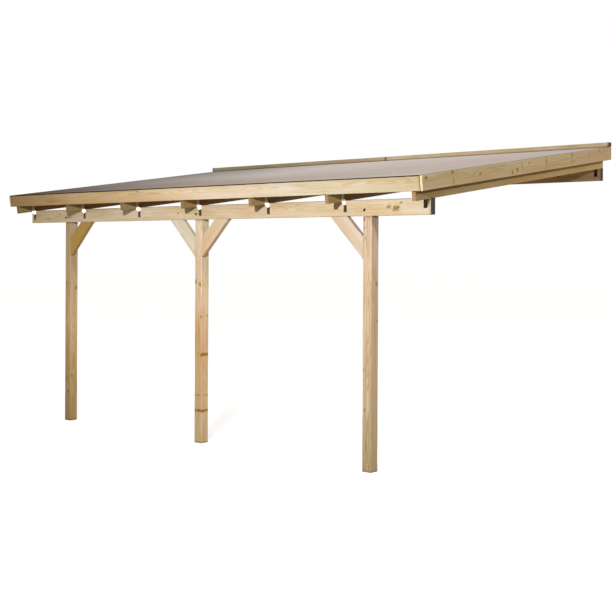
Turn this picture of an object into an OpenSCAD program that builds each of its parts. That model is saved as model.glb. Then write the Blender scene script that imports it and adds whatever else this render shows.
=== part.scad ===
// Garden pergola: a lean-to timber roof carried by three front posts and a wall plate.
// Millimetres. +X runs along the wall, +Y points into the wall, +Z is up.
// The origin is the centre of the wall plate's rear face.

/* [Roof] */
// Width over the outer faces of the two barge boards
roof_w = 5430; // [4700:10:6600]
// Depth from the wall to the front edge of the fascia
roof_d = 3010; // [2500:10:3620]
// Slope of the roof, in degrees
pitch = 8; // [5:0.5:12]
// Gap from each barge board's inner face to the outer rafter
verge = 65; // [40:1:90]
// Clearance between the wall and everything but the wall plate
wall_gap = 2; // [1:0.5:10]

/* [Posts] */
// Side of a square post
post_s = 90; // [70:1:140]
// Distance between the centres of neighbouring posts
post_bay = 2000; // [1650:10:2400]
// Distance from the wall to the centres of the posts
post_line = 2720; // [2250:5:3250]
// Height of the front beam's underside above the ground
clear_h = 2060; // [1700:10:2500]
// Radius of a post's eased edges
post_ease = 5; // [2:0.5:10]

/* [Beam and wall plate] */
// Height of the front beam
beam_h = 130; // [100:1:160]
// Thickness of the front beam
beam_t = 57; // [45:1:70]
// How far the front beam's face stands out from the posts' front faces
beam_proud = 9; // [0:1:25]
// Height of the wall plate
plate_h = 120; // [100:1:150]
// Thickness of the wall plate
plate_t = 45; // [38:1:60]

/* [Braces] */
// Width of a diagonal brace
brace_w = 126; // [90:1:150]
// Thickness of a diagonal brace, flush with the posts' front faces
brace_t = 45; // [38:1:60]
// Clear corner between post, beam and brace, along each of them
brace_corner = 170; // [120:1:230]

/* [Rafters] */
// Number of rafters
rafter_count = 7; // [7]
// Width of a rafter
rafter_w = 35; // [32:1:50]
// Depth of a rafter
rafter_h = 175; // [145:1:210]
// Radius of the eased edges of rafters, boards, beam and braces
ease = 3; // [1:0.5:4]

/* [Covering] */
// Thickness of the tongued and grooved roof boards
deck_t = 19; // [16:1:25]
// Cover width of one roof board
deck_board = 96; // [80:1:140]
// Width of the V joint under two roof boards
deck_vee = 7; // [4:1:10]
// Thickness of the roofing felt
felt_t = 3; // [2:0.5:5]
// How far the felt turns down over the fascia
felt_lip = 5; // [3:1:20]
// Thickness of the fascia and the barge boards
board_t = 20; // [16:1:27]
// Height of the fascia and the barge boards
board_h = 118; // [95:1:150]
// Open joint between each end of the fascia and the barge board
fascia_joint = 6; // [0:1:10]
// Side of the batten that closes the roof against the wall
batten_s = 46; // [35:1:60]
// Place of the joint between the batten's two lengths
batten_joint_x = 55; // [-300:5:300]

/* [Rafter anchors] */
// Height of a folded steel rafter anchor
anchor_h = 170; // [130:5:200]
// Width of each leg of an anchor
anchor_leg = 32; // [28:1:38]
// How far the anchor's middle lies below the top of the beam
anchor_drop = 12; // [0:1:30]
// Height of the slant that ends each leg at the fold
anchor_slant = 30; // [15:1:40]
// Thickness of the anchor's sheet
anchor_t = 2; // [1.5:0.5:3]

/* [Hidden] */

// colours of the wood, the felt and the zinc
pine = "burlywood";
pine_pale = "wheat";
pine_brown = "peru";
felt_grey = "rosybrown";
zinc = "silver";

eps = 1;          // overrun of a cutting solid
big = 4000;       // reach of a half-space cutter
arc_fn = 24;      // facets asked for on an eased edge

// ---- levels above the ground, and places across the width
beam_top = clear_h + beam_h;
post_front_y = -post_line - post_s / 2;
beam_front_y = post_front_y - beam_proud;
beam_rear_y = beam_front_y + beam_t;
cover_t = deck_t + felt_t;                // from a rafter's back to the top of the roof
roof_n = rafter_h + cover_t;              // from a rafter's underside to the top of the roof

// The rafters' undersides meet the beam's top at its rear edge: in front of
// that edge each rafter is notched, so that it sits level on the whole beam.
seat_run = (beam_rear_y + roof_d - roof_n * sin(pitch)) / cos(pitch);
roof_edge_z = beam_top - seat_run * sin(pitch) + roof_n * cos(pitch);
plate_top = beam_top - beam_rear_y * tan(pitch);
plate_mid = plate_top - plate_h / 2;

board_in_x = roof_w / 2 - board_t;        // inner faces of the barge boards
frame_x = board_in_x - verge;             // outer faces of the outer rafters
rafter_pitch = (2 * frame_x - rafter_w) / (rafter_count - 1);
slope_len = roof_d / cos(pitch);

function rafter_x(i) = -frame_x + rafter_w / 2 + (i - 1) * rafter_pitch;

// Puts a model that was drawn above ground level where the origin wants it
module placed() { translate([0, 0, -plate_mid]) children(); }

// Local axes of the roof: +Y up the slope from the fascia's front, +Z out of the roof
module on_slope() {
    translate([0, -roof_d, roof_edge_z]) rotate([pitch, 0, 0]) children();
}

// Rectangle with eased corners, centred, exact arcs
module eased_rect(w, h, r) {
    square([w - 2 * r, h], center = true);
    square([w, h - 2 * r], center = true);
    for (sx = [-1, 1], sy = [-1, 1])
        translate([sx * (w / 2 - r), sy * (h / 2 - r)]) circle(r = r, $fn = arc_fn);
}

// Timber along X, between x1 and x2; its section is centred on y, z
module timber_x(x1, x2, y, z, t, h) {
    translate([x1, y, z]) rotate([90, 0, 90])
        linear_extrude(height = x2 - x1) eased_rect(t, h, ease);
}

// Timber up the slope, cut plumb where it stops at the wall; its top is at level n
module timber_slope(x, u1, n, w, h) {
    intersection() {
        on_slope() translate([x, u1, n - h / 2]) rotate([-90, 0, 0])
            linear_extrude(height = slope_len + roof_n) eased_rect(w, h, ease);
        translate([-big, -2 * big - wall_gap, 0]) cube([2 * big, 2 * big, 2 * big]);
    }
}

// ---- posts and beam
module post(x) {
    color(pine_pale) placed() translate([x, -post_line, 0])
        linear_extrude(height = clear_h) eased_rect(post_s, post_s, post_ease);
}

module front_beam() {
    color(pine_pale) placed()
        timber_x(-frame_x, frame_x, beam_front_y + beam_t / 2, clear_h + beam_h / 2, beam_t, beam_h);
}

// Brace at 45 degrees from the post at x up to the beam; side is +1 or -1.
// Both ends are cut flat against the face that they bear on.
module brace(x, side) {
    color(pine_pale) placed() translate([x, post_front_y + brace_t / 2, clear_h])
        mirror([side < 0 ? 1 : 0, 0, 0]) intersection() {
            translate([post_s / 2, 0, -brace_corner]) rotate([0, -45, 0])
                translate([-big / 2, 0, -brace_w / 2]) rotate([90, 0, 90])
                    linear_extrude(height = big) mirror([0, 1]) eased_rect(brace_t, brace_w, ease);
            translate([post_s / 2, -big / 2, -big]) cube([big, big, big]);
        }
}

// ---- wall plate
module wall_plate() {
    color(pine_brown) placed()
        timber_x(-frame_x, frame_x, -plate_t / 2, plate_top - plate_h / 2, plate_t, plate_h);
}

// ---- rafters, each notched over the beam and over the wall plate
module rafter(i) {
    x = rafter_x(i);
    color(pine) placed() difference() {
        timber_slope(x, board_t, -cover_t, rafter_w, rafter_h);
        translate([x - rafter_w / 2 - eps, beam_front_y, clear_h])
            cube([rafter_w + 2 * eps, beam_t, beam_h]);
        translate([x - rafter_w / 2 - eps, -plate_t, plate_top - plate_h])
            cube([rafter_w + 2 * eps, plate_t + eps, plate_h]);
    }
}

// ---- fascia and barge boards
module front_fascia() {
    color(pine_pale) placed() on_slope()
        timber_x(-board_in_x + fascia_joint, board_in_x - fascia_joint, board_t / 2,
                 -felt_t - board_h / 2, board_t, board_h);
}

module barge_board(side) {
    color(pine) placed()
        timber_slope(side * (roof_w - board_t) / 2, 0, -felt_t, board_t, board_h);
}

// ---- roof boards, with a V joint below each pair, and the felt on top
module roof_boards() {
    color(pine) placed() difference() {
        intersection() {
            on_slope() translate([-board_in_x, board_t, -cover_t])
                cube([2 * board_in_x, slope_len + roof_n, deck_t]);
            translate([-big, -2 * big - wall_gap, 0]) cube([2 * big, 2 * big, 2 * big]);
        }
        for (u = [board_t + deck_board : deck_board : slope_len - deck_board / 2])
            on_slope() translate([-board_in_x - eps, u, -cover_t]) rotate([90, 0, 90])
                linear_extrude(height = 2 * board_in_x + 2 * eps)
                    polygon([[-deck_vee / 2, 0], [-deck_vee / 2, -eps],
                             [deck_vee / 2, -eps], [deck_vee / 2, 0], [0, deck_vee / 2]]);
    }
}

module roofing_felt() {
    color(felt_grey) placed() intersection() {
        on_slope() translate([-board_in_x, 0, 0]) rotate([90, 0, 90])
            linear_extrude(height = 2 * board_in_x)
                polygon([[-felt_t, 0], [slope_len + roof_n, 0], [slope_len + roof_n, -felt_t],
                         [0, -felt_t], [0, -felt_t - felt_lip], [-felt_t, -felt_t - felt_lip]]);
        translate([-big, -2 * big - wall_gap, 0]) cube([2 * big, 2 * big, 2 * big]);
    }
}

// Batten along the wall on top of the felt: its underside is bevelled to the slope
module wall_batten(x1, x2) {
    y1 = -wall_gap - batten_s;
    foot = roof_edge_z + (y1 + roof_d) * tan(pitch);
    color(pine_brown) placed() translate([x1, 0, 0]) rotate([90, 0, 90])
        linear_extrude(height = x2 - x1)
            polygon([[y1, foot], [-wall_gap, foot + batten_s * tan(pitch)],
                     [-wall_gap, foot + batten_s], [y1, foot + batten_s]]);
}

// ---- folded steel anchor in the inner corner of beam and rafter: the lower leg is nailed
// to the beam's face, the upper leg to the side of the rafter in front of the beam.
// (x, y, z) is the point where the rafter's side, the beam's face and its top meet;
// side is the way that the lower leg points.
module anchor(x, y, z, side) {
    half = anchor_h / 2;
    color(zinc) placed() translate([x, y, z - anchor_drop]) mirror([side < 0 ? 1 : 0, 0, 0]) {
        rotate([90, 0, 0]) linear_extrude(height = anchor_t)
            polygon([[0, -half], [anchor_leg, -half], [anchor_leg, 0],
                     [anchor_t, anchor_slant], [0, anchor_slant]]);
        rotate([90, 0, 90]) linear_extrude(height = anchor_t)
            polygon([[0, half], [-anchor_leg, half], [-anchor_leg, 0],
                     [-anchor_t, -anchor_slant], [0, -anchor_slant]]);
    }
}

// The outer right-hand rafter is flush with the beam's end, so its anchors are on its left
function anchor_side(i) = i == rafter_count ? -1 : 1;
function anchor_x(i) = rafter_x(i) + anchor_side(i) * rafter_w / 2;

module beam_anchor(i) { anchor(anchor_x(i), beam_front_y, beam_top, anchor_side(i)); }
module plate_anchor(i) { anchor(anchor_x(i), -plate_t, plate_top, anchor_side(i)); }

post(-post_bay);  // post_left
post(0);  // post_middle
post(post_bay);  // post_right
front_beam();
brace(-post_bay, 1);  // brace_left
brace(0, -1);  // brace_middle_left
brace(0, 1);  // brace_middle_right
brace(post_bay, -1);  // brace_right
wall_plate();
for (i = [1 : rafter_count])
    rafter(i);
front_fascia();
barge_board(-1);  // barge_board_left
barge_board(1);  // barge_board_right
roof_boards();
roofing_felt();
wall_batten(-roof_w / 2, batten_joint_x);  // wall_batten_left
wall_batten(batten_joint_x, roof_w / 2);  // wall_batten_right
for (i = [1 : rafter_count]) {
    beam_anchor(i);
    plate_anchor(i);
}
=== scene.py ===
"""Looks of a lean-to garden pergola: finishes, fasteners, light and camera around its timber frame."""

import logging
import math
from dataclasses import dataclass, field
from enum import Enum
from functools import partial
from typing import Any, Callable, Iterable, Mapping, Sequence

import bpy
from mathutils import Matrix, Vector

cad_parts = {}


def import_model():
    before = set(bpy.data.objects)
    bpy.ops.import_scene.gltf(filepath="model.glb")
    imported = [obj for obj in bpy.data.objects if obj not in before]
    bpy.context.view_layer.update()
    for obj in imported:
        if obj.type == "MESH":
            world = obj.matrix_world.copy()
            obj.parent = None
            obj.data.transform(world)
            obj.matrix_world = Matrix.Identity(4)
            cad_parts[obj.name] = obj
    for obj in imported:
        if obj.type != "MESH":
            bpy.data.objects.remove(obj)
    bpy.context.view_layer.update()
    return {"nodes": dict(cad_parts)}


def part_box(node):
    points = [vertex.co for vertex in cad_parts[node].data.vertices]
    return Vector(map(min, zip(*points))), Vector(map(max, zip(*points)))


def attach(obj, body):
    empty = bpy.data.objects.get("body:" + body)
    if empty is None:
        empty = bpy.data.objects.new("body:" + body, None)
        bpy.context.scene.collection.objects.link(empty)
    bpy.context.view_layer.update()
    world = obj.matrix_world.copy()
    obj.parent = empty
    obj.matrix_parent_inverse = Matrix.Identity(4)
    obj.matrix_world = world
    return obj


MM = 0.001
BODY = "root"
PITCH = math.radians(8)
RAFTERS = range(1, 8)
GARDEN, SKY = Vector((0, -1, 0)), Vector((0, 0, 1))
UP_ROOF = Vector((0, math.cos(PITCH), math.sin(PITCH)))
OUT_OF_ROOF = Vector((0, -math.sin(PITCH), math.cos(PITCH)))
WHITE = "#ffffff"
NO_BAND = (-9.0, -8.9)  # deep under the ground, so that no zinc has the painted highlight band
NO_KNOT = 9.0           # far outside every knot, in radii of it
Socket = bpy.types.NodeSocket
Put = Callable[..., Socket]
SMOOTH = {"interpolation_type": "SMOOTHSTEP"}
MIX = {"output": 2, "data_type": "RGBA"}
TINT = {**MIX, "blend_type": "MULTIPLY"}
log = logging.getLogger("pergola")


# ---------------------------------------------------------------- small tools

def linear(hex_code: str) -> tuple[float, float, float, float]:
    """Turns an sRGB hex colour into linear values.

    Args:
        hex_code: Colour such as "#c8a878".

    Returns:
        Red, green, blue and alpha, as Blender's sockets take them.
    """
    parts = [int(hex_code[i:i + 2], 16) / 255 for i in (1, 3, 5)]
    red, green, blue = (p / 12.92 if p <= 0.04045 else ((p + 0.055) / 1.055) ** 2.4 for p in parts)
    return red, green, blue, 1.0


def add_node(tree: bpy.types.NodeTree, kind: str, inputs: Mapping[str, Any] | Sequence[Any] = (),
             output: int = 0, **settings: Any) -> Socket | None:
    """Adds one node to a tree, with its settings and links.

    Args:
        tree: Tree that takes the node.
        kind: Blender's type name of the node, which may leave out ShaderNode at its front.
        inputs: What the inputs get, in their order or by name or identifier: a value, a socket to link, or
            a list of sockets for an input that takes several.
        output: Place of the output to hand back.
        **settings: Properties of the node itself.

    Returns:
        The chosen output socket, or None for a node that has no output.
    """
    node = tree.nodes.new(kind if "Node" in kind else "ShaderNode" + kind)
    for name, value in settings.items():
        setattr(node, name, value)
    for key, value in inputs.items() if isinstance(inputs, Mapping) else enumerate(inputs):
        by_name = (s for s in node.inputs if key in (s.identifier, s.name))
        socket = node.inputs[key] if isinstance(key, int) else next(by_name)
        for part in value if isinstance(value, list) else [value]:
            if isinstance(part, Socket):
                tree.links.new(part, socket)
            else:
                socket.default_value = part
    return node.outputs[output] if node.outputs else None


def blend_tones(put: Put, share: Socket, tones: Sequence[str]) -> Socket:
    """Spreads tones evenly over a share that runs from 0 to 1.

    Args:
        put: Adds a node to the tree.
        share: The share.
        tones: sRGB hex colours, from share 0 to share 1.

    Returns:
        The colour at that share.
    """
    colour = put("ValToRGB", [share])
    elements = colour.node.color_ramp.elements
    elements.remove(elements[1])
    while len(elements) < len(tones):
        elements.new(1.0)
    for i, tone in enumerate(tones):
        elements[i].position = i / max(1, len(tones) - 1)
        elements[i].color = linear(tone)
    return colour


def new_material(name: str) -> tuple[bpy.types.Material, Put]:
    """Makes an empty node material.

    Args:
        name: The material's name.

    Returns:
        The material, with no nodes in it, and the function that adds a node to it.
    """
    material = bpy.data.materials.new(name)
    material.use_nodes = True
    material.node_tree.nodes.clear()
    return material, partial(add_node, material.node_tree)


def dress(piece: bpy.types.Object, material: bpy.types.Material) -> None:
    """Puts one material on every slot of a piece.

    Args:
        piece: The piece.
        material: The material.
    """
    if not piece.material_slots:
        piece.data.materials.append(material)
    for slot in piece.material_slots:
        slot.material = material


def centre(node: str) -> Vector:
    """Finds the middle of a piece's box."""
    low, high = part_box(node)
    return (low + high) / 2


# ---------------------------------------------------------------- planed pine

class Grain(Enum):
    """Which way a timber lies: the direction of its fibres, and the direction across its broad face."""

    ALONG_WALL = ((1.0, 0.0, 0.0), (0.0, 0.0, 1.0))
    UPRIGHT = ((0.0, 0.0, 1.0), (1.0, 0.0, 0.0))
    UP_SLOPE = (tuple(UP_ROOF), tuple(OUT_OF_ROOF))
    RISING_RIGHT = ((math.sqrt(0.5), 0.0, math.sqrt(0.5)), (-math.sqrt(0.5), 0.0, math.sqrt(0.5)))
    RISING_LEFT = ((-math.sqrt(0.5), 0.0, math.sqrt(0.5)), (math.sqrt(0.5), 0.0, math.sqrt(0.5)))


@dataclass(frozen=True)
class Knot:
    """One knot that shows on a timber, sawn through where a branch grew.

    Attributes:
        along: Place along the fibres, from the middle of the timber, in millimetres.
        across: Place across the face, from its middle, in millimetres: up, or to the right on an upright.
        radius: Radius of the knot, in millimetres.
        sideways: Whether it shows on the narrow or side faces, and not on the broad or front ones.
        spread: Stretch across the face, above 1 where the saw ran along the branch.
        length: Stretch along the fibres, which close round a knot slowly.
    """

    along: float
    across: float
    radius: float
    sideways: bool = False
    spread: float = 1.0
    length: float = 1.3


@dataclass(frozen=True)
class PlanedPine:
    """Pressure-treated pine, planed: dull, with rings, knots, streaks and fine checks cut through the solid.

    Every pattern lives in the solid of the timber, so end faces show the rings that the long faces show as
    figure. Sizes are real ones, in millimetres.

    Attributes:
        ring: Mean width of a growth ring.
        wander: How far the pith strays from a straight line.
        knot_spacing: Distance between small knots along the fibres.
        knot_across: Distance between small knots across the fibres.
        knot_small: Radius of the smallest of them.
        knot_large: Radius of the largest of them.
        streak: Width of a streak of fibres.
        fibre: Width of a bundle of fibres, drawn coarser than the real 0.05 so that it shows.
        patch: Size across the fibres of a change from sapwood to heartwood.
        soak_depth: How far the treatment darkens the timber from a sawn end.
        check_width: Share of the check field that opens, about 1 mm wide.
        knot_reach: Where core, rim, halo and pull of a knot begin and end, in radii, and their levels there.
        late_edges: Shares of a ring over which the late wood darkens and ends, and the levels there.
        stretch: Distance in metres between the stretches of the pattern that two timbers show.
        contrast: Depth of the late wood's tone, 0 to 1.
        heartwood: Tint of the heartwood, sRGB hex, as are the tints that follow.
        late_wood: Tint of the dark line in a ring.
        streaked: Tint of a streak of fibres.
        shaded: Tint of the low fibres.
        coppered: Tint of the green cast that the copper salts leave.
        halo: Tint of the resin round a knot.
        core: Tint of a knot.
        rim: Tint of the bark at the edge of a knot.
        open_check: Tint of a drying check.
        soaked: Tint of a sawn end that has drawn the treatment.
        end_ring: Tint of the rings on a sawn end.
    """

    ring: float = 4.2
    wander: float = 60.0
    knot_spacing: float = 420.0
    knot_across: float = 120.0
    knot_small: float = 3.0
    knot_large: float = 12.0
    streak: float = 10.0
    fibre: float = 1.4
    patch: float = 150.0
    soak_depth: float = 30.0
    check_width: float = 0.012
    knot_reach: tuple[tuple[float, ...], ...] = (
        (0.70, 1.10, 1.0, 0.0), (0.50, 0.85, 0.0, 1.0), (0.90, 2.20, 1.0, 0.0), (0.00, 2.80, 1.0, 0.0))
    late_edges: tuple[tuple[float, ...], ...] = ((0.35, 0.90, 0.0, 1.0), (0.93, 1.00, 1.0, 0.0))
    stretch: float = 13.7
    contrast: float = 0.55
    heartwood: str = "#f8f0e3"
    late_wood: str = "#e5d4bc"
    streaked: str = "#e7dac5"
    shaded: str = "#f6f1ea"
    coppered: str = "#f3f9dd"
    halo: str = "#f3eac8"
    core: str = "#d1bc9b"
    rim: str = "#bfaf99"
    open_check: str = "#b3a28b"
    soaked: str = "#a29581"
    end_ring: str = "#d4c5ad"

    def group(self) -> bpy.types.NodeTree:
        """Builds the node group that turns a place in the timber into colour, roughness and relief.

        Returns:
            The group. Its place is in metres from the timber's middle, with X along the fibres.
        """
        tree = bpy.data.node_groups.new("planed_pine", "ShaderNodeTree")
        for name, kind in (("Place", "Vector"), ("Pith", "Vector"), ("Fibres", "Vector"),
                           ("Half length", "Float"), ("Seed", "Float"), ("Tone", "Color"),
                           ("End tone", "Color"), ("Green", "Float"), ("Figure", "Float"),
                           ("Soak", "Float"), ("Knot ratio", "Float")):
            tree.interface.new_socket(name, in_out="INPUT", socket_type="NodeSocket" + kind)
        for name, kind in (("Colour", "Color"), ("Roughness", "Float"), ("Relief", "Float")):
            tree.interface.new_socket(name, in_out="OUTPUT", socket_type="NodeSocket" + kind)
        put = partial(add_node, tree)
        given = put("NodeGroupInput").node.outputs
        along = put("SeparateXYZ", [given["Place"]])

        # each timber reads its own stretch of the endless pattern
        stretch = put("Math", [given["Seed"], self.stretch], operation="MULTIPLY")
        start = put("CombineXYZ", [stretch])
        seeded = put("VectorMath", [given["Place"], start], operation="ADD")

        knots = self._knots(put, seeded, given["Knot ratio"])
        rings = self._rings(put, given, seeded, knots)
        fields = {}
        for name, *shape in (("streak", 420.0, self.streak, 3.0), ("fibre", 60.0, self.fibre, 2.0),
                             ("patch", 900.0, self.patch, 2.0), ("cast", 700.0, self.patch * 0.6, 2.0),
                             ("check", 900.0, 30.0, 1.0)):
            fields[name] = self._field(put, seeded, *shape)
        ends = self._ends(put, along, given)
        checks = self._checks(put, fields)

        heart = put("MapRange", [fields["patch"], 0.40, 0.62], **SMOOTH)
        cast = put("MapRange", [fields["cast"], 0.46, 0.62], **SMOOTH)
        streaky = put("MapRange", [fields["streak"], 0.34, 0.68, 0.0, 0.5])
        late = put("Math", [rings, self.contrast], operation="MULTIPLY")
        late, streaks, green, soaked = (
            put("Math", [mask, given[strength]], operation="MULTIPLY", use_clamp=True)
            for mask, strength in ((late, "Figure"), (streaky, "Figure"), (cast, "Green"),
                                   (ends["soak"], "Soak")))
        colour = given["Tone"]
        for tint, mask in ((self.heartwood, heart), (self.late_wood, late), (self.streaked, streaks),
                           (self.shaded, fields["fibre"]), (self.coppered, green),
                           (self.halo, knots["halo"]), (self.core, knots["core"]), (self.rim, knots["rim"]),
                           (self.open_check, checks), (self.soaked, soaked)):
            colour = put("Mix", {"Factor_Float": mask, "A_Color": colour, "B_Color": linear(tint)}, **TINT)
        end_rings = put("Mix", {"Factor_Float": rings, "A_Color": given["End tone"],
                                "B_Color": linear(self.end_ring)}, **TINT)
        colour = put("Mix", {"Factor_Float": ends["face"], "A_Color": colour, "B_Color": end_rings}, **MIX)

        rough = put("MapRange", [fields["fibre"], 0.3, 0.7, 0.58, 0.78])
        sawn = put("Math", [ends["face"], 0.15, rough], operation="MULTIPLY_ADD")
        low = put("Math", [checks, -0.9], operation="MULTIPLY")
        ridged = put("Math", [rings, 0.10, low], operation="MULTIPLY_ADD")
        swollen = put("Math", [knots["core"], 0.35, ridged], operation="MULTIPLY_ADD")
        relief = put("Math", [fields["fibre"], 0.16, swollen], operation="MULTIPLY_ADD")
        put("NodeGroupOutput", {"Colour": colour, "Roughness": sawn, "Relief": relief})
        return tree

    def _field(self, put: Put, seeded: Socket, length: float, across: float, detail: float) -> Socket:
        """Adds a noise that is drawn out along the fibres.

        Args:
            put: Adds a node to the tree.
            seeded: Place in the endless pattern, in metres.
            length: Size of a feature along the fibres, in millimetres.
            across: Size of a feature across the fibres, in millimetres.
            detail: Number of finer layers.

        Returns:
            The noise, from 0 to 1 with most of it between 0.3 and 0.7.
        """
        scale = (1000 / length, 1000 / across, 1000 / across)
        drawn = put("VectorMath", [seeded, scale], operation="MULTIPLY")
        return put("TexNoise", {"Vector": drawn, "Scale": 1.0, "Detail": detail, "Roughness": 0.55})

    def _knots(self, put: Put, seeded: Socket, named: Socket) -> dict[str, Socket]:
        """Places small knots around random points of the solid, beside the timber's own named knots.

        Args:
            put: Adds a node to the tree.
            seeded: Place in the endless pattern, in metres.
            named: Distance from the nearest named knot, in radii of that knot.

        Returns:
            The knots' core, rim and halo masks, and the pull on the rings around them.
        """
        cell = Vector((self.knot_spacing, self.knot_across, self.knot_across)) * MM
        squeezed = put("VectorMath", [seeded, cell], operation="DIVIDE")
        cells = put("TexVoronoi", {"Vector": squeezed, "Scale": 1.0, "Randomness": 1.0}).node
        offset = put("VectorMath", [squeezed, cells.outputs["Position"]], operation="SUBTRACT")
        real = put("VectorMath", [offset, cell], operation="MULTIPLY")
        distance = put("VectorMath", [real], output=1, operation="LENGTH")
        chance = put("SeparateXYZ", [cells.outputs["Color"]])
        radius = put("MapRange", [chance, 0.25, 1.0, self.knot_small * MM, self.knot_large * MM])
        small = put("Math", [distance, radius], operation="DIVIDE")
        ratio = put("Math", [small, named], operation="MINIMUM")
        core, rim_in, halo, pull = (
            put("MapRange", [ratio, *reach], **SMOOTH) for reach in self.knot_reach)
        rim = put("Math", [core, rim_in], operation="MULTIPLY")
        return {"core": core, "rim": rim, "halo": halo, "pull": pull}

    def _rings(self, put: Put, given: Any, seeded: Socket, knots: Mapping[str, Socket]) -> Socket:
        """Draws growth rings round a pith that strays, and bends them past each knot.

        Args:
            put: Adds a node to the tree.
            given: The group's inputs.
            seeded: Place in the endless pattern, in metres.
            knots: What _knots made.

        Returns:
            Mask of the dark late wood, 0 to 1.
        """
        # the pith strays over about a metre along the fibres, and less across them
        slow = put("VectorMath", [seeded, (0.9, 1.5, 1.5)], operation="MULTIPLY")
        stray = put("TexNoise", {"Vector": slow, "Scale": 1.0, "Detail": 1.0}, output=1)
        centred = put("VectorMath", [stray, (0.5, 0.5, 0.5)], operation="SUBTRACT")
        bow = put("VectorMath", [centred, (0.0, self.wander * MM, self.wander * MM)], operation="MULTIPLY")
        from_pith = put("VectorMath", [given["Place"], given["Pith"]], operation="SUBTRACT")
        moved = put("VectorMath", [from_pith, bow], operation="ADD")
        flat = put("VectorMath", [moved, (0.0, 1.0, 1.0)], operation="MULTIPLY")
        radius = put("VectorMath", [flat], output=1, operation="LENGTH")
        swell = put("Math", [knots["pull"], self.knot_large * MM, radius], operation="MULTIPLY_ADD")
        uneven = self._field(put, seeded, 500.0, 26.0, 1.0)
        count = put("Math", [swell, 1 / (self.ring * MM)], operation="MULTIPLY")
        phase = put("Math", [uneven, 2.2, count], operation="MULTIPLY_ADD")
        part = put("Math", [phase], operation="FRACT")
        rise, fall = (put("MapRange", [part, *edge], **SMOOTH) for edge in self.late_edges)
        return put("Math", [rise, fall], operation="MULTIPLY")

    def _ends(self, put: Put, along: Socket, given: Any) -> dict[str, Socket]:
        """Finds the sawn end faces and the soaked stretch beside them.

        Args:
            put: Adds a node to the tree.
            along: Distance along the fibres from the middle, in metres.
            given: The group's inputs.

        Returns:
            Masks of the end face and of the soaked stretch.
        """
        reach = put("Math", [along], operation="ABSOLUTE")
        inside = put("Math", [given["Half length"], reach], operation="SUBTRACT")
        soak = put("MapRange", [inside, 0.0, self.soak_depth * MM, 1.0, 0.0],
                   interpolation_type="SMOOTHERSTEP")
        normal = put("TexCoord", output=1)
        facing = put("VectorMath", [normal, given["Fibres"]], output=1, operation="DOT_PRODUCT")
        size = put("Math", [facing], operation="ABSOLUTE")
        face = put("MapRange", [size, 0.55, 0.85], **SMOOTH)
        return {"face": face, "soak": soak}

    def _checks(self, put: Put, fields: Mapping[str, Socket]) -> Socket:
        """Opens a few drying checks along the fibres, where the tone changes most.

        Args:
            put: Adds a node to the tree.
            fields: The noises drawn out along the fibres.

        Returns:
            Mask of the checks, 0 to 1.
        """
        level = put("Math", [fields["check"], 0.5], operation="SUBTRACT")
        size = put("Math", [level], operation="ABSOLUTE")
        line = put("MapRange", [size, 0.0, self.check_width, 1.0, 0.0])
        where = put("MapRange", [fields["cast"], 0.55, 0.62])
        return put("Math", [line, where], operation="MULTIPLY")


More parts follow.
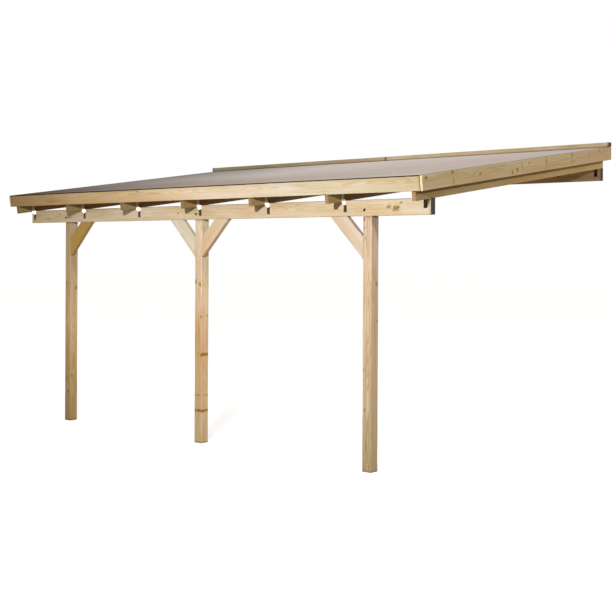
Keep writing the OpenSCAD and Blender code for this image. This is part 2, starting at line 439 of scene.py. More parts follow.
@dataclass(frozen=True)
class Timber:
    """One stick or board of the frame, how it was sawn from the log, and how the treatment took.

    Attributes:
        node: The piece's name.
        grain: Which way it lies.
        tones: sRGB hex colours of the wood at even steps along the fibres, from the low end to the high end;
            they are partly the wood's own tone and partly painted light and shade along the timber.
        seed: Which stretch of the endless pattern it shows.
        pith: Place of the pith from the middle of the section, across and outwards, in millimetres.
        end: sRGB hex colour of the sawn ends.
        green: Strength of the green cast that the copper salts leave, 0 to 1.
        figure: Contrast of growth rings and streaks.
        soak: How dark the ends have drawn the treatment, 0 to 1.
        painted_foot_shade: Height of the painted shade along the foot of a timber that lies on the felt, in
            millimetres.
        painted_foot_shade_tint: sRGB hex tint of that painted shade.
        relief: Strength of the planed face's relief, which is drawn 1 mm deep.
        specular: Specular level of the bare wood.
        knots: Knots with a place of their own.
    """

    node: str
    grain: Grain
    tones: tuple[str, ...]
    seed: float
    pith: tuple[float, float] = (12.0, 58.0)
    end: str = "#9a7f58"
    green: float = 0.4
    figure: float = 1.0
    soak: float = 0.3
    painted_foot_shade: float = 0.0
    painted_foot_shade_tint: str = "#958169"
    relief: float = 0.7
    specular: float = 0.32
    knots: tuple[Knot, ...] = ()

    def material(self, grain_group: bpy.types.NodeTree) -> bpy.types.Material:
        """Makes this timber's own pine.

        Args:
            grain_group: The group that PlanedPine built.

        Returns:
            The material, with the pattern laid along this timber.
        """
        fibres, across = (Vector(direction) for direction in self.grain.value)
        low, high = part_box(self.node)
        half_length = (high - low).dot(Vector(map(abs, fibres))) / 2
        turn = Matrix((fibres, across, fibres.cross(across)))
        material, put = new_material("planed_pine_" + self.node)
        place = put("TexCoord", output=3)
        local = put("Mapping", {"Vector": place, "Rotation": turn.to_euler(),
                                "Location": -(turn @ ((low + high) / 2))})
        along = put("SeparateXYZ", [local])
        share = put("MapRange", [along, -half_length, half_length])
        tone = blend_tones(put, share, self.tones)
        # painted shade along the foot, where the timber sits on the felt
        if self.painted_foot_shade:
            foot = -(high - low).dot(Vector(map(abs, across))) / 2
            foot_shade_mask = put("MapRange", [along.node.outputs["Y"], foot, foot + self.painted_foot_shade * MM, 1.0, 0.0])
            tone = put("Mix", {"Factor_Float": foot_shade_mask, "A_Color": tone, "B_Color": linear(self.painted_foot_shade_tint)},
                       **TINT)
        outputs = put("Group", {"Place": local, "Pith": (0.0, self.pith[0] * MM, self.pith[1] * MM),
                                "Fibres": fibres, "Half length": half_length, "Seed": self.seed,
                                "Tone": tone, "End tone": linear(self.end), "Green": self.green,
                                "Figure": self.figure, "Soak": self.soak,
                                "Knot ratio": self._knot_ratio(put, local)},
                      node_tree=grain_group).node.outputs
        bump = put("Bump", {"Height": outputs["Relief"], "Strength": self.relief, "Distance": MM})
        surface = put("BsdfPrincipled", {"Base Color": outputs["Colour"], "Roughness": outputs["Roughness"],
                                         "Normal": bump, "Specular IOR Level": self.specular})
        put("OutputMaterial", {"Surface": surface})
        return material

    def _knot_ratio(self, put: Put, local: Socket) -> Socket | float:
        """Measures how far a place is from the nearest knot of this timber's own.

        Args:
            put: Adds a node to the tree.
            local: Place from the timber's middle, in metres, with X along the fibres.

        Returns:
            The distance in radii of that knot, uneven as its edge is, or a large number where there is none.
        """
        if not self.knots:
            return NO_KNOT
        nearest: Socket | float = NO_KNOT
        # the edge of a knot wanders over about 20 mm
        wobble = put("TexNoise", {"Vector": local, "Scale": 45.0, "Detail": 2.0})
        uneven = put("MapRange", [wobble, 0.3, 0.7, 0.55, 1.6])
        for knot in self.knots:
            middle = (knot.along * MM, 0.0, knot.across * MM) if knot.sideways else (
                knot.along * MM, knot.across * MM, 0.0)
            reach = 1 / (knot.radius * MM)
            wide = reach / knot.spread
            long = reach / knot.length
            squeeze = (long, 0.0, wide) if knot.sideways else (long, wide, 0.0)
            offset = put("VectorMath", [local, middle], operation="SUBTRACT")
            scaled = put("VectorMath", [offset, squeeze], operation="MULTIPLY")
            ratio = put("VectorMath", [scaled], output=1, operation="LENGTH")
            nearest = put("Math", [ratio, nearest], operation="MINIMUM")
        return put("Math", [nearest, uneven], operation="MULTIPLY")


# ---------------------------------------------------------------- felt and zinc

@dataclass(frozen=True)
class MineralFelt:
    """Bitumen roofing felt with a fine mineral face: dull warm grey, darker toward the eaves and the left
    with painted shade, paler toward the wall with painted light.

    Attributes:
        eaves: sRGB hex colours along the eaves, from left to right, darkened with painted shade, most at the
            left.
        wall: sRGB hex colours along the wall, from left to right, paler with painted light.
        grain: Size of a mineral grain in millimetres, drawn at about twice the real one.
        cloud: Size of a change of tone in millimetres.
        roughness: Roughness of the mineral face.
        cut: sRGB hex colour of the bitumen along cut edges, which have no mineral.
        relief: Strength of the grains' relief.
        grain_height: Height of a grain, in millimetres.
        specular: Specular level, none on the mineral face.
        grit: sRGB hex tint of the darkest grains.
        clouded: sRGB hex tint of the darkest clouds.
    """

    eaves: tuple[str, ...] = ("#685854", "#ac9f95", "#c6bbb0")
    wall: tuple[str, ...] = ("#96928e", "#c8beb7", "#c8bab2")
    grain: float = 2.2
    cloud: float = 700.0
    roughness: float = 0.85
    cut: str = "#2b241f"
    relief: float = 0.6
    grain_height: float = 0.6
    specular: float = 0.0
    grit: str = "#e7e7e8"
    clouded: str = "#e7e5e5"

    def material(self) -> bpy.types.Material:
        """Makes the felt's material.

        Returns:
            The material.
        """
        material, put = new_material("mineral_felt_rolled")
        low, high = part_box("roofing_felt")
        place = put("TexCoord", output=3)
        parts = put("SeparateXYZ", [place]).node.outputs
        across, up = (put("MapRange", [parts[axis], low[axis], high[axis]]) for axis in (0, 1))
        # painted light and shade: darker toward the eaves and the left, paler toward the wall
        eaves, wall = blend_tones(put, across, self.eaves), blend_tones(put, across, self.wall)
        upper_share = put("MapRange", [up, 0.0, 0.5], **SMOOTH)
        tone = put("Mix", {"Factor_Float": upper_share, "A_Color": eaves, "B_Color": wall}, **MIX)
        grains = put("TexVoronoi", {"Vector": place, "Scale": 1000 / self.grain}).node
        chance = put("SeparateXYZ", [grains.outputs["Color"]])
        cloud = put("TexNoise", {"Vector": place, "Scale": 1000 / self.cloud, "Detail": 4.0})
        sprinkled = put("Mix", {"Factor_Float": chance, "A_Color": tone, "B_Color": linear(self.grit)},
                        **TINT)
        cloudy = put("MapRange", [cloud, 0.35, 0.65, 0.0, 0.3])
        colour = put("Mix", {"Factor_Float": cloudy, "A_Color": sprinkled, "B_Color": linear(self.clouded)},
                     **TINT)
        facing = put("NewGeometry", output=1)
        flat = put("VectorMath", [facing, OUT_OF_ROOF], output=1, operation="DOT_PRODUCT")
        cut = put("Math", [flat, 0.5], operation="LESS_THAN")
        colour = put("Mix", {"Factor_Float": cut, "A_Color": colour, "B_Color": linear(self.cut)}, **MIX)
        bump = put("Bump", {"Height": grains.outputs["Distance"], "Strength": self.relief,
                            "Distance": self.grain_height * MM})
        surface = put("BsdfPrincipled", {"Base Color": colour, "Roughness": self.roughness,
                                         "Specular IOR Level": self.specular, "Normal": bump})
        put("OutputMaterial", {"Surface": surface})
        return material


@dataclass(frozen=True)
class GalvanisedSteel:
    """Hot-dip galvanised steel: grey zinc with faint crystals, a painted highlight band, and painted
    reflection above and below it.

    Attributes:
        painted_highlight: Colour of the painted highlight band, sRGB hex.
        pale: Colour of the zinc above the band, sRGB hex: on the anchors a painted reflection, on the last
            anchor painted shade.
        dull: Colour of the zinc below the band, sRGB hex: on the anchors a painted dark reflection.
        fleck: Tint of the darkest crystals, sRGB hex.
        spangle: Size of a crystal in millimetres.
        rough: Roughness of the dullest and of the brightest crystals.
        highlight_smoothing: How much smoother the painted highlight band is.
        fade: Distance over which the painted highlight band fades, in metres.
    """

    painted_highlight: str = "#fbf5ea"
    pale: str = "#d9c9a8"
    dull: str = "#6b604f"
    fleck: str = "#b8b4ae"
    spangle: float = 7.0
    rough: tuple[float, float] = (0.52, 0.40)
    highlight_smoothing: float = 0.12
    fade: float = 0.008

    def material(self, name: str, highlight_band: tuple[float, float]) -> bpy.types.Material:
        """Makes the zinc's material.

        Args:
            name: What the zinc is on.
            highlight_band: Lower and upper level of the painted highlight band, in metres.

        Returns:
            The material.
        """
        material, put = new_material("zinc_hot_dipped_" + name)
        place = put("TexCoord", output=3)
        crystals = put("TexVoronoi", {"Vector": place, "Scale": 1000 / self.spangle}, output=1)
        chance = put("SeparateXYZ", [crystals])
        level = put("SeparateXYZ", [place]).node.outputs["Z"]
        middle, half = (highlight_band[0] + highlight_band[1]) / 2, (highlight_band[1] - highlight_band[0]) / 2
        # painted reflection: on the anchors, one tone above the band and a darker one below it
        upper_share = put("Math", [level, middle], operation="GREATER_THAN")
        tone_and_painted_reflection = put("Mix", {"Factor_Float": upper_share, "A_Color": linear(self.dull),
                                "B_Color": linear(self.pale)}, **MIX)
        flecks = put("MapRange", [chance, 0.0, 1.0, 0.0, 0.5])
        tone_and_painted_reflection = put("Mix", {"Factor_Float": flecks, "A_Color": tone_and_painted_reflection,
                                "B_Color": linear(self.fleck)}, **TINT)
        # painted highlight: a bright band round the given levels, also a little smoother
        apart = put("Math", [level, middle], operation="SUBTRACT")
        reach = put("Math", [apart], operation="ABSOLUTE")
        bright = put("MapRange", [reach, half, half + self.fade, 1.0, 0.0], **SMOOTH)
        colour = put("Mix", {"Factor_Float": bright, "A_Color": tone_and_painted_reflection, "B_Color": linear(self.painted_highlight)},
                     **MIX)
        worn = put("MapRange", [chance, 0.0, 1.0, *self.rough])
        rough = put("Math", [bright, -self.highlight_smoothing, worn], operation="MULTIPLY_ADD")
        surface = put("BsdfPrincipled", {"Base Color": colour, "Metallic": 1.0, "Roughness": rough})
        put("OutputMaterial", {"Surface": surface})
        return material


# ---------------------------------------------------------------- sub-assemblies

@dataclass
class TimberFrame:
    """All sticks and boards of the pergola, each with its own stretch of pine.

    Attributes:
        pine: Finish of all of them.
        heart: Place of the pith in a post, which is sawn from the heart of the log, in millimetres.
        dark_end: sRGB hex colour of sawn ends that have drawn much of the treatment.
        sawn: sRGB hex colour of ends that were sawn after it.
    """

    pine: PlanedPine = field(default_factory=PlanedPine)
    heart: tuple[float, float] = (9.0, -7.0)
    # dark_end: sRGB hex colour of the darkest sawn ends, those of beam, wall plate and right batten.
    dark_end: str = "#4a4636"
    sawn: str = "#dccba6"

    def timbers(self) -> Iterable[Timber]:
        """Lists every timber with its grain, tones and place in the log.

        Yields:
            The timbers.
        """
        yield from self._posts_and_beam()
        yield from self._braces()
        yield from self._roof_timbers()

    def _posts_and_beam(self) -> Iterable[Timber]:
        """Lists posts, front beam and wall plate.

        Yields:
            The five timbers.
        """
        yield Timber("post_left", Grain.UPRIGHT, ("#bca274", "#e4cca6", "#dfd1bc"), 1.0, self.heart,
                     green=0.2, figure=1.7, soak=0.5,
                     knots=(Knot(400, -20, 8), Knot(350, 25, 12, True), Knot(-565, -20, 9, True),
                            Knot(-595, -35, 8)))
        whorl = (*(Knot(-590, across, 5) for across in (-35, -10, 15)),
                 *(Knot(-590, across, 5, True) for across in (0, 30)))
        yield Timber("post_middle", Grain.UPRIGHT, ("#dac8a6", "#ead2b4", "#faf6ee"), 2.0, self.heart,
                     green=0.2, figure=1.7, soak=0.5,
                     knots=(Knot(455, -30, 11), Knot(435, 25, 13), Knot(135, 35, 7), Knot(140, 25, 7, True),
                            Knot(-215, 40, 12), Knot(-210, -15, 12, True), *whorl, Knot(-730, 40, 9),
                            Knot(-730, -40, 9, True)))
        yield Timber("post_right", Grain.UPRIGHT, ("#c0b094", "#d2c6b4", "#d6c2b6"), 3.0, self.heart,
                     green=0.3, figure=1.8, soak=0.4,
                     knots=(Knot(1000, -30, 8), Knot(935, -30, 6), Knot(-210, -30, 6), Knot(-530, -20, 7),
                            Knot(485, 20, 10, True), Knot(185, 30, 6, True)))
        yield Timber("front_beam", Grain.ALONG_WALL, ("#f8e8cc", "#fcf2de", "#dccdb8", "#d0c5b2"), 4.0,
                     end=self.dark_end,
                     knots=(Knot(-2135, 20, 7), Knot(2225, 5, 13), Knot(2295, -10, 21), Knot(2345, 35, 8)))
        yield Timber("wall_plate", Grain.ALONG_WALL, ("#e4caa4", "#d8c4ac"), 9.0, end=self.dark_end)

    def _braces(self) -> Iterable[Timber]:
        """Lists the four braces.

        Yields:
            The braces, from left to right.
        """
        yield Timber("brace_left", Grain.RISING_RIGHT, ("#d4b870",), 5.0)
        yield Timber("brace_middle_left", Grain.RISING_LEFT, ("#ecebde", "#f6f8f2"), 6.0)
        yield Timber("brace_middle_right", Grain.RISING_RIGHT, ("#eacca8", "#f0ece0"), 7.0)
        yield Timber("brace_right", Grain.RISING_LEFT, ("#d4c8be",), 8.0)

    def _roof_timbers(self) -> Iterable[Timber]:
        """Lists rafters, fascia, barge boards, roof boards and wall battens.

        Yields:
            The timbers.
        """
        for i in RAFTERS:
            yield Timber(f"rafter_{i}", Grain.UP_SLOPE, ("#a49068", "#e6cc96"), 10.0 + i,
                         (6.0 * i - 20, -30.0))
        # the fascia's tones carry painted shade: darker toward its left end, where the light falls off
        yield Timber("front_fascia", Grain.ALONG_WALL,
                     ("#b89c70", "#e4caa0", "#f0dec8", "#d2cec2", "#b8ae94"), 20.0)
        yield Timber("barge_board_left", Grain.UP_SLOPE, ("#c0b294", "#d8c29c"), 21.0, end=self.sawn)
        yield Timber("barge_board_right", Grain.UP_SLOPE, ("#c0b294", "#d8c29c"), 22.0, end=self.sawn,
                     knots=(Knot(-1460, 35, 11), Knot(-1110, 50, 10, spread=2.0),
                            Knot(-1100, -20, 4, spread=8.0), Knot(-725, 5, 9),
                            Knot(-245, -25, 7, spread=2.0), Knot(-165, -15, 8, spread=2.5),
                            Knot(-85, 10, 4, spread=8.0), Knot(30, 25, 8), Knot(315, 15, 4, spread=7.0),
                            Knot(770, 45, 10, spread=1.5), Knot(770, 5, 3, spread=12.0),
                            Knot(1090, 0, 3, spread=12.0), Knot(1290, 40, 5, spread=3.0)))
        yield Timber("roof_boards", Grain.ALONG_WALL, ("#d6b68a",), 23.0)
        yield Timber("wall_batten_left", Grain.ALONG_WALL, ("#aeb094", "#b2a486", "#c6baaa"), 24.0,
                     soak=1.0, painted_foot_shade=16.0)
        yield Timber("wall_batten_right", Grain.ALONG_WALL, ("#d4c6b0", "#c2b89c"), 25.0, soak=1.0,
                     painted_foot_shade=16.0, end=self.dark_end)

    def finish(self, nodes: Mapping[str, bpy.types.Object]) -> None:
        """Gives each timber its pine.

        Args:
            nodes: The frame's pieces by name.
        """
        group = self.pine.group()
        for timber in self.timbers():
            dress(nodes[timber.node], timber.material(group))
            log.info("pine on %s", timber.node)


@dataclass
class Covering:
    """The felt on the roof.

    Attributes:
        felt: Its finish.
    """

    felt: MineralFelt = field(default_factory=MineralFelt)

    def finish(self, nodes: Mapping[str, bpy.types.Object]) -> None:
        """Gives the felt its face."""
        dress(nodes["roofing_felt"], self.felt.material())
        log.info("felt on the roof")


@dataclass
class Anchors:
    """The folded steel anchors, and the nails that hold both legs of each.

    Attributes:
        zinc: Finish of anchors and nails.
        painted_shade_zinc: Finish of the right-hand anchors: painted shade where the last rafter shades them.
        highlight_above: Reach of the painted highlight band above the anchor's middle, in metres.
        highlight_below: Its reach below the anchor's middle, in metres.
        highlight_foot: Height of the painted highlight along the foot of the right-hand anchors, in metres.
        first_nail: Distance of the nails nearest to the middle of the anchor, in metres.
        nail_step: Distance between nails along a leg, in metres.
        nails: Number of nails in a leg.
        columns: Distances from the fold of the two staggered columns of nails, in metres.
        sheet: Thickness of the sheet, in metres.
    """

    zinc: GalvanisedSteel = field(default_factory=GalvanisedSteel)
    painted_shade_zinc: GalvanisedSteel = GalvanisedSteel(pale="#4a4338")
    highlight_above: float = 0.018
    highlight_below: float = 0.024
    highlight_foot: float = 0.012
    first_nail: float = 0.014
    nail_step: float = 0.017
    nails: int = 4
    columns: tuple[float, float] = (0.010, 0.022)
    sheet: float = 0.002

    def finish(self, nodes: Mapping[str, bpy.types.Object]) -> None:
        """Gives the anchors their zinc, and drives their nails.

        Args:
            nodes: The frame's pieces by name.
        """
        head = FastenerHead("anchor_nails", radius=0.004, height=0.0016, sides=12, recess=0.5, depth=0.0002)
        for seat in ("beam", "plate"):
            names = [f"{seat}_anchor_{i}" for i in RAFTERS]
            middle = centre(names[0]).z
            # the anchors' zinc carries a painted highlight round their middle, with painted reflection above
            # and below it
            zinc = self.zinc.material(seat + "_anchors",
                                      (middle - self.highlight_below, middle + self.highlight_above))
            for name in names:
                dress(nodes[name], zinc)
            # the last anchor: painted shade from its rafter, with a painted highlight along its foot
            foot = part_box(names[-1])[0].z
            dress(nodes[names[-1]],
                  self.painted_shade_zinc.material(f"last_{seat}_anchor", (foot, foot + self.highlight_foot)))
            head.drive(f"{seat}_anchor_nails", (n for name in names for n in self._fixings(name)), zinc)
        log.info("zinc and nails on the anchors")

    def _fixings(self, anchor: str) -> Iterable["Fixing"]:
        """Finds the places of one anchor's nails.

        Args:
            anchor: Name of the anchor.

        Yields:
            The lower leg's nails, which face the garden, and the upper leg's, which face along the wall.
        """
        low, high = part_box(anchor)
        rafter = centre("rafter_" + anchor.rsplit("_", 1)[1])
        side = 1 if (low.x + high.x) / 2 > rafter.x else -1
        fold = Vector((low.x if side > 0 else high.x, high.y, (low.z + high.z) / 2))
        for i in range(self.nails):
            run = self.columns[i % 2]
            rise = self.first_nail + i * self.nail_step
            yield Fixing(fold + Vector((side * run, -self.sheet, -rise)), GARDEN)
            yield Fixing(fold + Vector((side * self.sheet, -run, rise)), Vector((side, 0, 0)))


@dataclass(frozen=True)
class Fixing:
    """Where one fastener was driven.

    Attributes:
        place: Place of its head's underside.
        facing: The way its head faces.
    """

    place: Vector
    facing: Vector


@dataclass(frozen=True)
class FastenerHead:
    """Head of one kind of fastener, raised by Geometry Nodes from a disc: walls, chamfer, flat and recess.

    Attributes:
        name: Name of the kind.
        radius: Radius of the head, in metres.
        height: Height of the head, in metres.
        sides: Number of sides of the head.
        recess: Radius of the recess for the driver, as a share of the head's.
        depth: Depth of that recess, in metres.
        washer: Radius of the washer under the head, in metres, or 0 for none.
        washer_height: Thickness of that washer, in metres.
        wall: Share of the height that the wall has, below the chamfer.
        flat: Radius of the flat inside the chamfer, as a share of the head's.
        taper: Radius of the recess's floor, as a share of its mouth's.
        washer_sides: Number of sides of the washer.
        seed: Seed of the turn that each head was left at.
    """

    name: str
    radius: float
    height: float
    sides: int
    recess: float
    depth: float
    washer: float = 0.0
    washer_height: float = 0.0
    wall: float = 0.6
    flat: float = 0.8
    taper: float = 0.9
    washer_sides: int = 24
    seed: int = 7

    def drive(self, piece_name: str, fixings: Iterable[Fixing], metal: bpy.types.Material) -> None:
        """Puts this head at every fixing, as one plain mesh that rides on the body.

        Args:
            piece_name: Name of the new piece.
            fixings: Where the fasteners go.
            metal: Material of the heads.
        """
        fixings = list(fixings)
        mesh = bpy.data.meshes.new(piece_name + "_places")
        mesh.from_pydata([fixing.place for fixing in fixings], [], [])
        facing = mesh.attributes.new("facing", "FLOAT_VECTOR", "POINT")
        facing.data.foreach_set("vector", [part for fixing in fixings for part in fixing.facing])
        piece = bpy.data.objects.new(piece_name, mesh)
        bpy.context.scene.collection.objects.link(piece)
        modifier = piece.modifiers.new("heads", "NODES")
        modifier.node_group = tree = self._tree()
        for item in tree.interface.items_tree:
            if item.name in self._inputs():
                modifier[item.identifier] = self._inputs()[item.name][1]
            elif item.name == "Metal":
                modifier[item.identifier] = metal
        depsgraph = bpy.context.evaluated_depsgraph_get()
        heads = bpy.data.meshes.new_from_object(piece.evaluated_get(depsgraph), depsgraph=depsgraph)
        piece.modifiers.clear()
        piece.data = heads
        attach(piece, BODY)
        log.info("%s: %d heads, %d faces", piece_name, len(fixings), len(heads.polygons))

    def _inputs(self) -> dict[str, tuple[str, float]]:
        """Lists the tree's sizes and seed by name, each with the kind of its socket and its value.

        Returns:
            Kind of socket and value, by name.
        """
        return {"Radius": ("Float", self.radius), "Height": ("Float", self.height),
                "Sides": ("Int", self.sides), "Recess": ("Float", self.recess),
                "Depth": ("Float", self.depth), "Washer": ("Float", self.washer),
                "Washer height": ("Float", self.washer_height), "Seed": ("Int", self.seed)}

    def _tree(self) -> bpy.types.NodeTree:
        """Builds the tree that turns places with a facing into finished heads.

        Returns:
            The tree.
        """
        tree = bpy.data.node_groups.new(self.name, "GeometryNodeTree")
        tree.interface.new_socket("Places", in_out="INPUT", socket_type="NodeSocketGeometry")
        for name, (kind, _) in {**self._inputs(), "Metal": ("Material", None)}.items():
            tree.interface.new_socket(name, in_out="INPUT", socket_type="NodeSocket" + kind)
        tree.interface.new_socket("Heads", in_out="OUTPUT", socket_type="NodeSocketGeometry")
        put = partial(add_node, tree)
        given = put("NodeGroupInput").node.outputs
        shape = self._head(put, given)
        if self.washer:
            shape = self._on_washer(put, given, shape)
        facing = put("GeometryNodeInputNamedAttribute", {"Name": "facing"}, data_type="FLOAT_VECTOR")
        aimed = put("FunctionNodeAlignRotationToVector", {"Vector": facing}, axis="Z")
        turn = put("FunctionNodeRandomValue", {"Min_001": 0.0, "Max_001": math.tau, "Seed": given["Seed"]},
                   output=1, data_type="FLOAT")
        spin = put("CombineXYZ", {"Z": turn})
        spun = put("FunctionNodeRotateRotation", {"Rotation": aimed, "Rotate By": spin},
                   rotation_space="LOCAL")
        placed = put("GeometryNodeInstanceOnPoints",
                     {"Points": given["Places"], "Instance": shape, "Rotation": spun})
        real = put("GeometryNodeRealizeInstances", [placed])
        dressed = put("GeometryNodeSetMaterial", {"Geometry": real, "Material": given["Metal"]})
        put("NodeGroupOutput", {"Heads": dressed})
        return tree

    def _head(self, put: Put, given: Any) -> Socket:
        """Raises the head from a disc.

        Args:
            put: Adds a node to the tree.
            given: The group's inputs.

        Returns:
            The closed head, with its underside at the origin.
        """
        wall = put("Math", [given["Height"], self.wall], operation="MULTIPLY")
        rim = put("Math", [given["Height"], 1 - self.wall], operation="MULTIPLY")
        inside = put("Math", [given["Recess"], self.flat], operation="DIVIDE")
        down = put("Math", [given["Depth"], -1.0], operation="MULTIPLY")
        disc = put("GeometryNodeMeshCircle", {"Vertices": given["Sides"], "Radius": given["Radius"]},
                   fill_type="NGON")
        shape, top = disc, None
        for rise, scale in ((wall, 1.0), (rim, self.flat), (0.0, inside), (down, self.taper)):
            inputs = {"Mesh": shape, "Offset Scale": rise, "Individual": False}
            if top is not None:
                inputs["Selection"] = top
            raised = put("GeometryNodeExtrudeMesh", inputs, mode="FACES").node.outputs
            top = raised["Top"]
            shape = put("GeometryNodeScaleElements",
                        {"Geometry": raised["Mesh"], "Selection": top, "Scale": scale}, domain="FACE")
        under = put("GeometryNodeFlipFaces", [disc])
        both = put("GeometryNodeJoinGeometry", [[shape, under]])
        return put("GeometryNodeMergeByDistance", {"Geometry": both, "Distance": 0.01 * MM})

    def _on_washer(self, put: Put, given: Any, head: Socket) -> Socket:
        """Lifts the head onto a washer.

        Args:
            put: Adds a node to the tree.
            given: The group's inputs.
            head: The closed head.

        Returns:
            Washer and head together.
        """
        washer = put("GeometryNodeMeshCylinder", {"Vertices": self.washer_sides, "Radius": given["Washer"],
                                                  "Depth": given["Washer height"]})
        half = put("Math", [given["Washer height"], 0.5], operation="MULTIPLY")
        raised = put("CombineXYZ", {"Z": half})
        laid = put("GeometryNodeTransform", {"Geometry": washer, "Translation": raised})
        lift = put("CombineXYZ", {"Z": given["Washer height"]})
        on_top = put("GeometryNodeTransform", {"Geometry": head, "Translation": lift})
        return put("GeometryNodeJoinGeometry", [[laid, on_top]])


@dataclass
class Carpentry:
    """Screws and bolts of the timber joints, each where a carpenter would drive it.

    Attributes:
        zinc: Finish of the screws.
        iron: Finish of the bolts, whose zinc has gone dark.
        felt_lip: How far the felt's front edge reaches below the top of the roof, in metres.
        board_height: Height of the fascia and the barge boards, in metres.
        brace_width: Width of a brace, in metres.
        fascia_rows: Heights of the two fascia screws, as shares of the board's height from its top.
        barge_step: Distance between the screws of a barge board, in metres.
        barge_drop: Distance of those screws below the top of the roof, in metres.
        batten_step: Distance between the screws of the wall battens, in metres.
        brace_edge: Distance of a brace's screws from post or beam, in metres.
        brace_half_gap: Half the distance between the two screws of a joint, in metres.
        bolt_offset: Place of a beam bolt from the middle of its post, in metres, along the wall and up.
    """

    zinc: GalvanisedSteel = GalvanisedSteel(pale="#dbc694", dull="#c2a872")
    iron: GalvanisedSteel = GalvanisedSteel(pale="#5d4d3c", dull="#5d4d3c")
    felt_lip: float = 0.008
    board_height: float = 0.118
    brace_width: float = 0.126
    fascia_rows: tuple[float, float] = (0.28, 0.72)
    barge_step: float = 0.38
    barge_drop: float = 0.013
    batten_step: float = 0.55
    brace_edge: float = 0.028
    brace_half_gap: float = 0.035
    bolt_offset: tuple[float, float] = (-0.024, -0.016)

    def finish(self) -> None:
        """Drives all screws and bolts."""
        zinc = self.zinc.material("fasteners", NO_BAND)
        iron = self.iron.material("bolts", NO_BAND)
        screw = FastenerHead("board_screws", radius=0.004, height=0.0008, sides=16, recess=0.45, depth=0.0006)
        bolt = FastenerHead("frame_bolts", radius=0.0085, height=0.006, sides=6, recess=0.4, depth=0.0003,
                            washer=0.012, washer_height=0.002)
        for head, name, fixings, metal in (
                (screw, "fascia_screws", self._fascia(), zinc),
                (screw, "barge_screws", self._barges(), zinc),
                (screw, "batten_screws", self._battens(), zinc),
                (screw, "brace_screws", self._braces(), zinc),
                (bolt, "beam_bolts", self._beam(), iron),
                (bolt, "plate_bolts", self._plate(), iron)):
            head.drive(name, fixings, metal)

    def _on_roof(self, x: float, up: float, out: float) -> Vector:
        """Finds a place on or near the roof.

        Args:
            x: Place along the wall, in metres.
            up: Distance up the slope from the roof's front edge, in metres.
            out: Distance out of the roof's top, in metres.

        Returns:
            The place.
        """
        low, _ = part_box("roofing_felt")
        edge = Vector((0.0, low.y, low.z + self.felt_lip * math.cos(PITCH)))
        return edge + Vector((x, 0.0, 0.0)) + up * UP_ROOF + out * OUT_OF_ROOF

    def _fascia(self) -> Iterable[Fixing]:
        """Finds two screws in the fascia for each rafter.

        Yields:
            The screws, one above the other.
        """
        for i in RAFTERS:
            for share in self.fascia_rows:
                place = self._on_roof(centre(f"rafter_{i}").x, 0.0, -share * self.board_height)
                yield Fixing(place, -UP_ROOF)

    def _barges(self) -> Iterable[Fixing]:
        """Finds a row of screws in each barge board, into the ends of the roof boards.

        Yields:
            The screws, up the slope.
        """
        for side, name in ((-1, "barge_board_left"), (1, "barge_board_right")):
            low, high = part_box(name)
            x = high.x if side > 0 else low.x
            length = (high.y - low.y) / math.cos(PITCH)
            for i in range(int(length / self.barge_step)):
                yield Fixing(self._on_roof(x, (i + 0.5) * self.barge_step, -self.barge_drop),
                             Vector((side, 0, 0)))

    def _battens(self) -> Iterable[Fixing]:
        """Finds a row of screws on top of the wall battens.

        Yields:
            The screws, from left to right.
        """
        for name in ("wall_batten_left", "wall_batten_right"):
            low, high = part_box(name)
            count = math.ceil((high.x - low.x) / self.batten_step)
            step = (high.x - low.x) / count
            for i in range(count):
                yield Fixing(Vector((low.x + (i + 0.5) * step, (low.y + high.y) / 2, high.z)), SKY)

    def _braces(self) -> Iterable[Fixing]:
        """Finds two screws at each end of a brace, on its front face.

        Yields:
            The screws, at the post and at the beam in turn.
        """
        joint = self.brace_width * math.sqrt(2)
        for name, side in (("brace_left", 1), ("brace_middle_left", -1), ("brace_middle_right", 1),
                           ("brace_right", -1)):
            low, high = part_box(name)
            post_x, beam_x = (low.x, high.x) if side > 0 else (high.x, low.x)
            for shift in (-self.brace_half_gap, self.brace_half_gap):
                yield Fixing(Vector((post_x + side * self.brace_edge, low.y, low.z + joint / 2 + shift)),
                             GARDEN)
                yield Fixing(Vector((beam_x - side * (joint / 2 + shift), low.y, high.z - self.brace_edge)),
                             GARDEN)

    def _beam(self) -> Iterable[Fixing]:
        """Finds the bolt through the beam over each post.

        Yields:
            The bolts, from left to right.
        """
        along, up = self.bolt_offset
        low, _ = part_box("front_beam")
        for name in ("post_left", "post_middle", "post_right"):
            yield Fixing(Vector((centre(name).x + along, low.y, centre("front_beam").z + up)), GARDEN)

    def _plate(self) -> Iterable[Fixing]:
        """Finds the bolts into the wall, one in each bay between rafters.

        Yields:
            The bolts, from left to right.
        """
        low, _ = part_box("wall_plate")
        for i in list(RAFTERS)[:-1]:
            x = (centre(f"rafter_{i}").x + centre(f"rafter_{i + 1}").x) / 2
            yield Fixing(Vector((x, low.y, centre("wall_plate").z)), GARDEN)


# ---------------------------------------------------------------- studio

@dataclass(frozen=True)
class Lamp:
    """A round lamp, aimed at the middle of the front beam.

    Attributes:
        name: Name of the lamp.
        power: Power in watts.
        size: Diameter in metres.
        from_post: Place from the right post's foot, in metres.
    """

    name: str
    power: float
    size: float
    from_post: tuple[float, float, float]

    def hang(self, foot: Vector) -> None:
        """Hangs the lamp.

        Args:
            foot: Foot of the right post.
        """
        data = bpy.data.lights.new(self.name, "AREA")
        data.shape = "DISK"
        data.size = self.size
        data.energy = self.power
        lamp = bpy.data.objects.new(self.name, data)
        lamp.location = foot + Vector(self.from_post)
        lamp.rotation_euler = (centre("front_beam") - lamp.location).to_track_quat("-Z", "Y").to_euler()
        lamp.visible_camera = False
        bpy.context.scene.collection.objects.link(lamp)


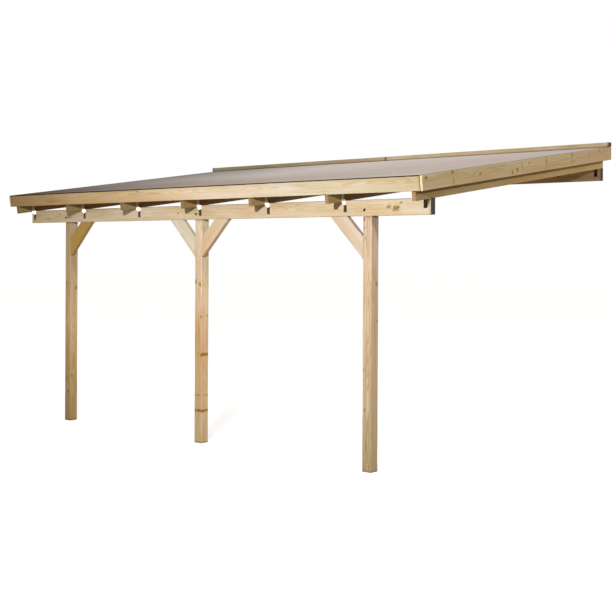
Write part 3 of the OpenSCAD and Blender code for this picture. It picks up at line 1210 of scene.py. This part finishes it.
@dataclass(frozen=True)
class Studio:
    """Plain studio: pale floor, soft warm surroundings, three lamps and the camera.

    Attributes:
        ambient: Level of the surroundings, where 1 renders a colour as it is written.
        sky: sRGB hex colour of the surroundings.
        floor_reach: Distance from the middle of the floor to its edges, in metres.
        floor_seen: sRGB hex colour of the floor as the eye meets it, before it is lifted.
        floor_lift: Strength that lifts it to white, so that only the shadow stays.
        ground: sRGB hex colour by which the floor gives light back to the object, like trodden earth.
        lamps: The lamps.
        eye_height: Height of the camera above the ground, in metres.
        eye_from_post: Place of the camera from the right post's foot, along the wall and away from it.
        heading: Turn of the camera to the left of the wall's square, in degrees.
        roll: Tilt of the camera, in degrees.
        lens: Focal length, in millimetres.
        sensor: Width of the sensor, in millimetres.
        far: Distance up to which the camera sees, in metres.
        shift: Rise of the lens, in picture widths.
    """

    ambient: float = 0.45
    sky: str = "#fffcf7"
    floor_reach: float = 60.0
    floor_seen: str = "#cecdcb"
    floor_lift: float = 0.74
    ground: str = "#9d9382"
    lamps: tuple[Lamp, ...] = (Lamp("lamp_in_front", 235.0, 0.16, (1.2, -4.08, 2.96)),
                               Lamp("lamp_at_side", 320.0, 0.5, (9.0, -1.3, 4.9)),
                               Lamp("lamp_overhead", 170.0, 3.0, (-2.0, 3.6, 7.0)))
    eye_height: float = 1.788
    eye_from_post: tuple[float, float] = (5.6835, -7.0708)
    heading: float = 41.99
    roll: float = 0.273
    lens: float = 65.68
    sensor: float = 36.0
    far: float = 200.0
    shift: float = -0.095

    def build(self) -> None:
        """Makes floor, surroundings, lamps and camera."""
        low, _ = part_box("post_right")
        middle = centre("post_right")
        foot = Vector((middle.x, middle.y, low.z))
        self._floor(low.z)
        self._surroundings()
        for lamp in self.lamps:
            lamp.hang(foot)
        self._camera(foot)
        bpy.context.scene.view_settings.view_transform = "Standard"

    def _floor(self, level: float) -> None:
        """Lays the floor: white to the eye, keeping the object's shadow, and open from below.

        Args:
            level: Height of the floor, in metres.
        """
        side = self.floor_reach
        mesh = bpy.data.meshes.new("floor")
        mesh.from_pydata([(-side, -side, level), (side, -side, level), (side, side, level),
                          (-side, side, level)], [], [(0, 1, 2, 3)])
        floor = bpy.data.objects.new("floor", mesh)
        bpy.context.scene.collection.objects.link(floor)
        material, put = new_material("pale_floor")
        seen = put("LightPath")
        face = put("Mix", {"Factor_Float": seen, "A_Color": linear(self.ground),
                           "B_Color": linear(self.floor_seen)}, **MIX)
        matt = put("BsdfDiffuse", {"Color": face})
        lift = put("Math", [seen, self.floor_lift], operation="MULTIPLY")
        glow = put("Emission", [linear(WHITE), lift])
        lit = put("AddShader", [matt, glow])
        below = put("NewGeometry", output=6)
        clear = put("BsdfTransparent")
        surface = put("MixShader", [below, lit, clear])
        put("OutputMaterial", {"Surface": surface})
        dress(floor, material)

    def _surroundings(self) -> None:
        """Sets the world: white to the eye and in gloss, and a plain warm level for everything else."""
        world = bpy.data.worlds.new("studio")
        world.use_nodes = True
        world.node_tree.nodes.clear()
        put = partial(add_node, world.node_tree)
        path = put("LightPath").node.outputs
        gloss = put("Math", [path["Is Camera Ray"], path["Is Glossy Ray"]], operation="MAXIMUM")
        white = put("Math", [gloss, path["Is Transmission Ray"]], operation="MAXIMUM")
        plain = put("Background", [linear(self.sky), self.ambient])
        bright = put("Background", [linear(WHITE), 1.0])
        surface = put("MixShader", [white, plain, bright])
        put("OutputWorld", {"Surface": surface})
        bpy.context.scene.world = world

    def _camera(self, foot: Vector) -> None:
        """Sets up the camera, level, with a small drop of the lens.

        Args:
            foot: Foot of the right post.
        """
        data = bpy.data.cameras.new("camera")
        data.lens = self.lens
        data.sensor_width = self.sensor
        data.shift_y = self.shift
        data.clip_end = self.far
        camera = bpy.data.objects.new("camera", data)
        camera.location = foot + Vector((*self.eye_from_post, self.eye_height))
        turn, tilt, lean = (
            Matrix.Rotation(math.radians(angle), 3, axis)
            for angle, axis in ((self.heading, "Z"), (90, "X"), (self.roll, "Z")))
        camera.rotation_euler = (turn @ tilt @ lean).to_euler()
        bpy.context.scene.collection.objects.link(camera)
        bpy.context.scene.camera = camera


def main() -> None:
    """Builds the looks of the pergola in order."""
    logging.basicConfig(level=logging.INFO, format="%(name)s: %(message)s")
    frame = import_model()
    TimberFrame().finish(frame["nodes"])
    Covering().finish(frame["nodes"])
    Anchors().finish(frame["nodes"])
    Carpentry().finish()
    Studio().build()


if __name__ == "__main__":
    main()
